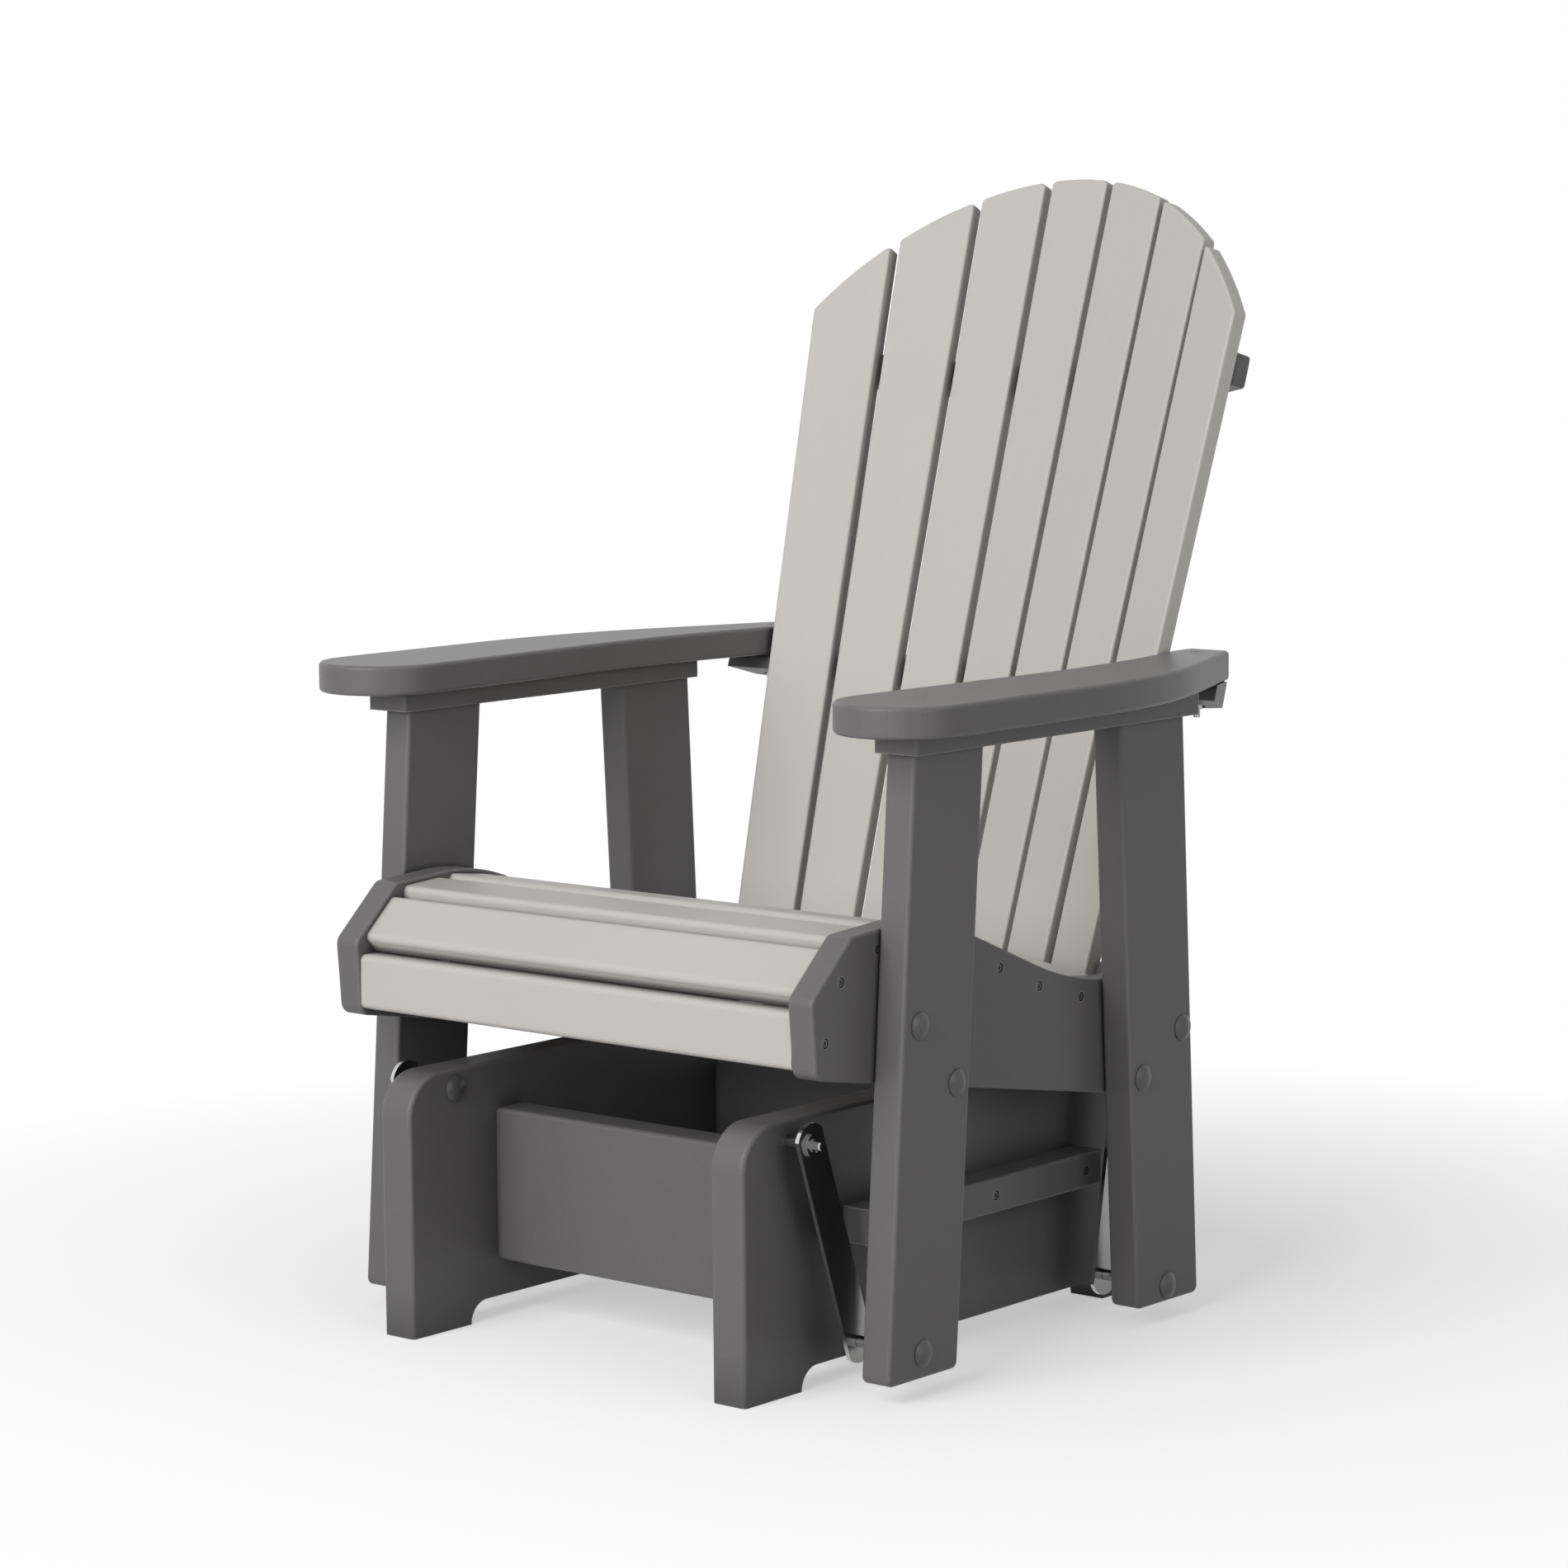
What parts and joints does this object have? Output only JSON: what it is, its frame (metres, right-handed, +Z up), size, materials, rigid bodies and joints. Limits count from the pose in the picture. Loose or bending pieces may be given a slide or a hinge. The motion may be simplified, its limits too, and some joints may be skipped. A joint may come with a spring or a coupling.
{
  "type": "fan-back glider chair",
  "caption": "Garden glider chair: a slatted seat with a curved fan back and broad arms, hung on swinging steel links from a low trestle base.",
  "frame": {"origin": "on the floor under the middle of the whole chair's box: midway between its sides and midway between the front of the base and the rearmost edge of the back", "axes": "+X towards the sitter's left, +Y from the front to the back of the chair, +Z up"},
  "size_m": [0.759, 0.81, 1.0719],
  "materials": {
    "light_boards": "light warm grey recycled-plastic board with a fine grain",
    "dark_boards": "charcoal grey recycled-plastic board with a fine grain",
    "bolt_caps": "charcoal moulded plastic, satin",
    "polished_steel": "polished stainless flat bar",
    "plain_steel": "plain stainless fasteners"
  },
  "bodies": {
    "base": {"base_side_left": "dark_boards", "base_side_right": "dark_boards", "base_front_panel": "dark_boards", "base_rear_panel": "dark_boards", "stop_rail_left": "dark_boards", "stop_rail_right": "dark_boards", "base_dowels": "dark_boards", "front_pivot_studs": "plain_steel", "rear_pivot_studs": "plain_steel", "pivot_washers": "plain_steel", "pivot_clips": "plain_steel", "stud_caps": "bolt_caps"},
    "front_links": {"front_link_left": "polished_steel", "front_link_right": "polished_steel"},
    "rear_links": {"rear_link_left": "polished_steel", "rear_link_right": "polished_steel"},
    "seat_unit": {"lower_pivot_bolts": "plain_steel", "lower_pivot_spacers": "plain_steel", "lower_pivot_nuts": "plain_steel", "front_leg_left": "dark_boards", "front_leg_right": "dark_boards", "rear_leg_left": "dark_boards", "rear_leg_right": "dark_boards", "leg_bolts": "plain_steel", "leg_bolt_nuts": "plain_steel", "leg_bolt_caps": "bolt_caps", "seat_side_left": "dark_boards", "seat_side_right": "dark_boards", "fascia_slat": "light_boards", "nose_slat": "light_boards", "rear_seat_slat": "light_boards", "lower_back_brace": "dark_boards", "mid_back_brace": "dark_boards", "upper_back_brace": "dark_boards", "arm_cleat_left": "dark_boards", "arm_cleat_right": "dark_boards", "arm_left": "dark_boards", "arm_right": "dark_boards", "arm_bolts": "plain_steel", "arm_bolt_caps": "bolt_caps", "arm_bolt_nuts": "plain_steel", "seat_slat_1": "light_boards", "seat_slat_2": "light_boards", "seat_slat_3": "light_boards", "seat_slat_4": "light_boards", "seat_slat_5": "light_boards", "seat_slat_6": "light_boards", "back_slat_1": "light_boards", "back_slat_2": "light_boards", "back_slat_3": "light_boards", "back_slat_4": "light_boards", "back_slat_5": "light_boards", "back_slat_6": "light_boards", "back_slat_7": "light_boards"}
  },
  "joints": [
    {"name": "glide", "type": "hinge", "parent": "base", "child": "front_links", "pos_m": [0, -0.3437, 0.2292], "axis": [1, 0, 0], "range_deg": [-6, 10]},
    {"name": "seat_pivot", "type": "hinge", "parent": "front_links", "child": "seat_unit", "pos_m": [0, -0.28087, 0.04143], "axis": [1, 0, 0], "range_deg": [-13, 8]},
    {"name": "rear_link_swing", "type": "hinge", "parent": "base", "child": "rear_links", "pos_m": [0, 0.1241, 0.2292], "axis": [1, 0, 0], "range_deg": [-6, 9.6]}
  ],
  "couplings": [
    {"joint": "seat_pivot", "follows": "glide", "ratio": -1.2583},
    {"joint": "rear_link_swing", "follows": "glide", "ratio": 0.9322}
  ]
}
